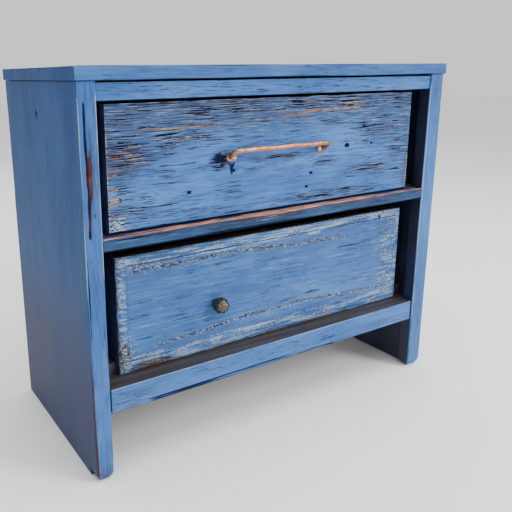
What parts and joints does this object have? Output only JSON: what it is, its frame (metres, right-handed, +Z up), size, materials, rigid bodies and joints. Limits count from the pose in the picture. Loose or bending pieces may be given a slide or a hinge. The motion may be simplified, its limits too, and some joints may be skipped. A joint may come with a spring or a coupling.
{
  "type": "dresser",
  "caption": "Low wooden dresser with a face frame, wide sliding drawers, a bent copper pull and a round metal knob, in worn blue paint.",
  "frame": {"origin": "on the floor, under the middle of the box around the whole dresser with its drawers shut", "axes": "+X across the width to the right as seen from the front, +Y from the front to the back, +Z up"},
  "size_m": [0.706, 0.3314, 0.5885],
  "materials": {
    "blue_paint": "satin blue paint over wood, worn to bare wood on the edges",
    "weathered_paint": "blue paint on a deeply cracked weathered plank",
    "worn_paint": "satin blue paint, rubbed white and tan on the moulded edge",
    "dark_stain": "dark stained wood, matte",
    "bare_pine": "unfinished pine",
    "drawer_wood": "aged unfinished pine",
    "plywood": "unfinished thin plywood",
    "copper": "rubbed copper, aged brown",
    "dark_bronze": "polished dark bronze",
    "zinc_steel": "bright zinc plate"
  },
  "bodies": {
    "case": {"top_board": "blue_paint", "side_panel_left": "blue_paint", "side_panel_right": "blue_paint", "stile_left": "blue_paint", "stile_right": "blue_paint", "top_rail": "blue_paint", "middle_rail": "blue_paint", "bottom_rail": "blue_paint", "bottom_shelf": "dark_stain", "back_panel": "plywood", "rear_cleat": "bare_pine", "shelf_cleat_left": "bare_pine", "shelf_cleat_right": "bare_pine", "runner_left": "bare_pine", "runner_right": "bare_pine", "kicker_left": "bare_pine", "kicker_right": "bare_pine", "upper_guide_left": "bare_pine", "upper_guide_right": "bare_pine", "lower_guide_left": "bare_pine", "lower_guide_right": "bare_pine", "stop_block_left": "bare_pine", "stop_block_right": "bare_pine", "rail_dowels": "bare_pine", "top_screws": "zinc_steel", "cleat_screws": "zinc_steel", "guide_screws": "zinc_steel", "back_nails": "zinc_steel", "rail_nails": "zinc_steel"},
    "upper_drawer": {"upper_drawer_front": "weathered_paint", "upper_drawer_side_left": "drawer_wood", "upper_drawer_side_right": "drawer_wood", "upper_drawer_back": "drawer_wood", "upper_drawer_bottom": "plywood", "upper_drawer_nails": "zinc_steel", "copper_pull": "copper", "pull_screws": "zinc_steel"},
    "lower_drawer": {"lower_drawer_front": "worn_paint", "lower_drawer_side_left": "drawer_wood", "lower_drawer_side_right": "drawer_wood", "lower_drawer_back": "drawer_wood", "lower_drawer_bottom": "plywood", "lower_drawer_nails": "zinc_steel", "round_knob": "dark_bronze", "knob_screw": "zinc_steel"}
  },
  "joints": [
    {"name": "upper_drawer_slide", "type": "slide", "parent": "case", "child": "upper_drawer", "axis": [0, -1, 0], "range_m": [0, 0.2]},
    {"name": "lower_drawer_slide", "type": "slide", "parent": "case", "child": "lower_drawer", "axis": [0, -1, 0], "range_m": [0, 0.2]}
  ]
}
